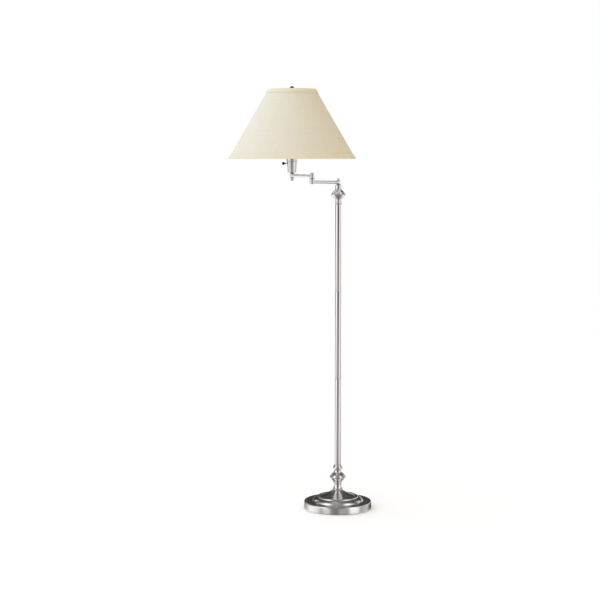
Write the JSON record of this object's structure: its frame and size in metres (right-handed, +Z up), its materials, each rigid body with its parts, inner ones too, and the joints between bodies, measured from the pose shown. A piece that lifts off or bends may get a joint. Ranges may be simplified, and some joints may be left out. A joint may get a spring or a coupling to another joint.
{
  "type": "swing-arm floor lamp",
  "caption": "Swing-arm floor lamp: weighted round base, slim turned pole, folding tubular arms on vertical pivots, switched socket, empire shade on a harp.",
  "frame": {"origin": "on the floor, on the axis of the pole, at the middle of the felt pad's underside", "axes": "+Z up along the pole; +X to the right and -Y towards a viewer who sees the shade on the left, as stored with the inner arm at 217 degrees and the outer arm at 127 degrees from +X"},
  "size_m": [0.508, 0.45, 1.4986],
  "materials": {
    "nickel": "nickel plate, polished and lightly brushed round the turned pieces and along the pole",
    "zinc_steel": "zinc-plated steel, satin",
    "cast_iron": "rough casting, dark",
    "brass": "thin pressed brass",
    "bulb_cap": "pressed aluminium screw cap",
    "black_plastic": "black moulded plastic",
    "linen": "ivory slubbed linen, laminated to a stiff backing",
    "linen_trim": "ivory linen trim band, a little yellower than the shade",
    "shade_liner": "white styrene backing",
    "felt": "dark felt",
    "fibre": "pressed fibre insulating sleeve",
    "lead_jacket": "clear-gold insulated lead",
    "bulb_glass": "frosted white glass"
  },
  "bodies": {
    "stand": {"felt_pad": "felt", "base_weight": "cast_iron", "base_cover": "nickel", "cord_bushing": "black_plastic", "base_nut": "zinc_steel", "base_pipe": "zinc_steel", "supply_lead": "lead_jacket", "base_neck": "nickel", "lower_knot_cup": "nickel", "lower_knot_skirt": "nickel", "lower_bead": "nickel", "pole_lower": "nickel", "pole_middle": "nickel", "pole_upper": "nickel", "pole_coupler_lower": "zinc_steel", "pole_coupler_upper": "zinc_steel", "upper_stem": "nickel", "upper_knot_cup": "nickel", "upper_knot_dome": "nickel", "pivot_stem": "nickel", "pole_washer": "black_plastic", "pivot_post": "zinc_steel", "pole_pivot_cap": "nickel"},
    "inner_arm": {"inner_arm_pole_knuckle": "nickel", "inner_arm_tube": "nickel", "inner_arm_elbow_knuckle": "nickel", "inner_arm_lead": "lead_jacket"},
    "outer_arm": {"outer_arm_elbow_knuckle": "nickel", "elbow_washer": "black_plastic", "elbow_pin": "nickel", "outer_arm_tube": "nickel", "outer_arm_socket_knuckle": "nickel", "outer_arm_lead": "lead_jacket"},
    "lamp_head": {"swivel_cap": "nickel", "swivel_post": "zinc_steel", "swivel_washer": "black_plastic", "socket_cup": "nickel", "socket_nut": "zinc_steel", "switch_body": "black_plastic", "centre_contact": "brass", "socket_collar": "nickel", "socket_shell": "brass", "socket_insulator": "fibre", "screw_shell": "brass", "harp_saddle": "zinc_steel", "socket_clamp_ring": "brass", "harp": "zinc_steel", "harp_stud": "brass"},
    "bulb": {"bulb_base": "bulb_cap", "bulb_glass": "bulb_glass"},
    "knob": {"switch_knob": "black_plastic"},
    "sleeve_left": {"harp_sleeve_left": "brass"},
    "sleeve_right": {"harp_sleeve_right": "brass"},
    "shade": {"shade_cloth": "linen", "shade_liner": "shade_liner", "shade_bottom_trim": "linen_trim", "shade_top_trim": "linen_trim", "shade_bottom_ring": "zinc_steel", "shade_spider": "zinc_steel"},
    "finial": {"finial": "black_plastic"}
  },
  "joints": [
    {"name": "pole_pivot", "type": "hinge", "parent": "stand", "child": "inner_arm", "pos_m": [0, 0, 1.164], "axis": [0, 0, 1], "range_deg": [-170, 170]},
    {"name": "elbow_pivot", "type": "hinge", "parent": "inner_arm", "child": "outer_arm", "pos_m": [-0.09296, -0.07005, 1.179], "axis": [0, 0, 1], "range_deg": [-75, 255]},
    {"name": "socket_swivel", "type": "hinge", "parent": "outer_arm", "child": "lamp_head", "pos_m": [-0.16301, 0.02291, 1.186], "axis": [0, 0, 1], "range_deg": [-170, 170]},
    {"name": "switch_turn", "type": "hinge", "parent": "lamp_head", "child": "knob", "pos_m": [-0.19341, 0.02291, 1.2286], "axis": [-1, 0, 0], "continuous": true},
    {"name": "bulb_turn", "type": "hinge", "parent": "lamp_head", "child": "bulb", "pos_m": [-0.16301, 0.02291, 1.264], "axis": [0, 0, 1], "continuous": true},
    {"name": "sleeve_left_lift", "type": "slide", "parent": "lamp_head", "child": "sleeve_left", "axis": [0, 0, 1], "range_m": [0, 0.01]},
    {"name": "sleeve_right_lift", "type": "slide", "parent": "lamp_head", "child": "sleeve_right", "axis": [0, 0, 1], "range_m": [0, 0.01]},
    {"name": "shade_turn", "type": "hinge", "parent": "lamp_head", "child": "shade", "pos_m": [-0.16301, 0.02291, 1.477], "axis": [0, 0, 1], "continuous": true},
    {"name": "finial_turn", "type": "hinge", "parent": "lamp_head", "child": "finial", "pos_m": [-0.16301, 0.02291, 1.49], "axis": [0, 0, 1], "continuous": true}
  ]
}
